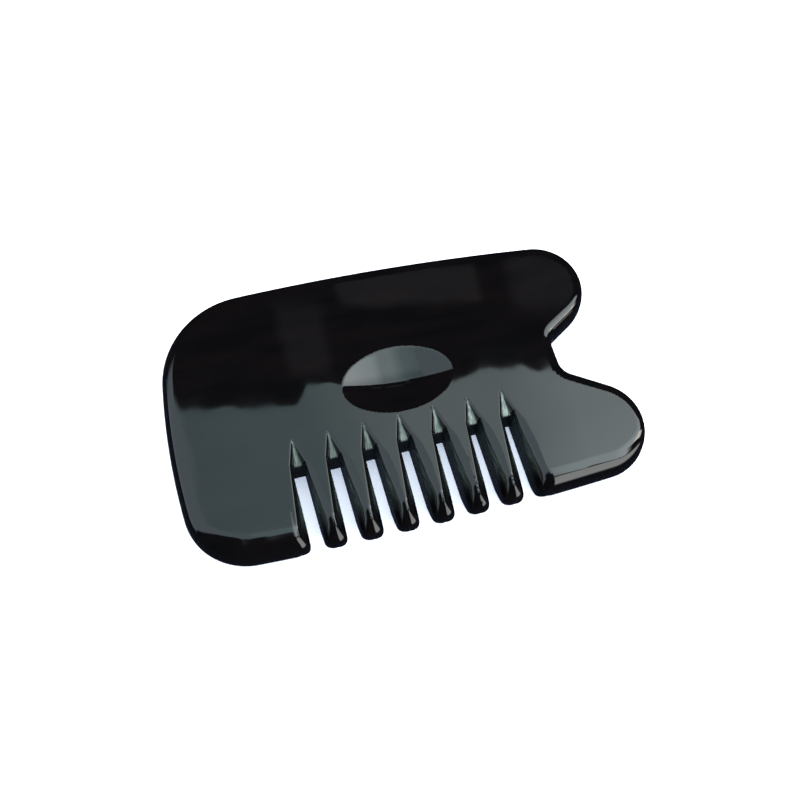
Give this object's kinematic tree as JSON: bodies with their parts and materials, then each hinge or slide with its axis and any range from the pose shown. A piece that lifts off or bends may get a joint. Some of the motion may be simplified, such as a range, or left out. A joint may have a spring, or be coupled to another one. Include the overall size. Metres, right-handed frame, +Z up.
{
  "type": "one-piece beard comb",
  "caption": "Flat comb carved from one glossy black horn plate: blunt saw-cut teeth on one side, a notched forked end, rounded rims and a shallow thumb dish.",
  "frame": {"origin": "centre of the comb's footprint, on the surface that it lies on", "axes": "+X along the row of teeth toward the forked end, -Y toward the tips of the teeth, +Z up through the face with the thumb dish"},
  "size_m": [0.098, 0.0604, 0.0085],
  "materials": {
    "horn": "natural black horn, polished to a high gloss, with dull grey saw marks in the slots"
  },
  "bodies": {
    "root": {"comb": "horn"}
  },
  "joints": []
}
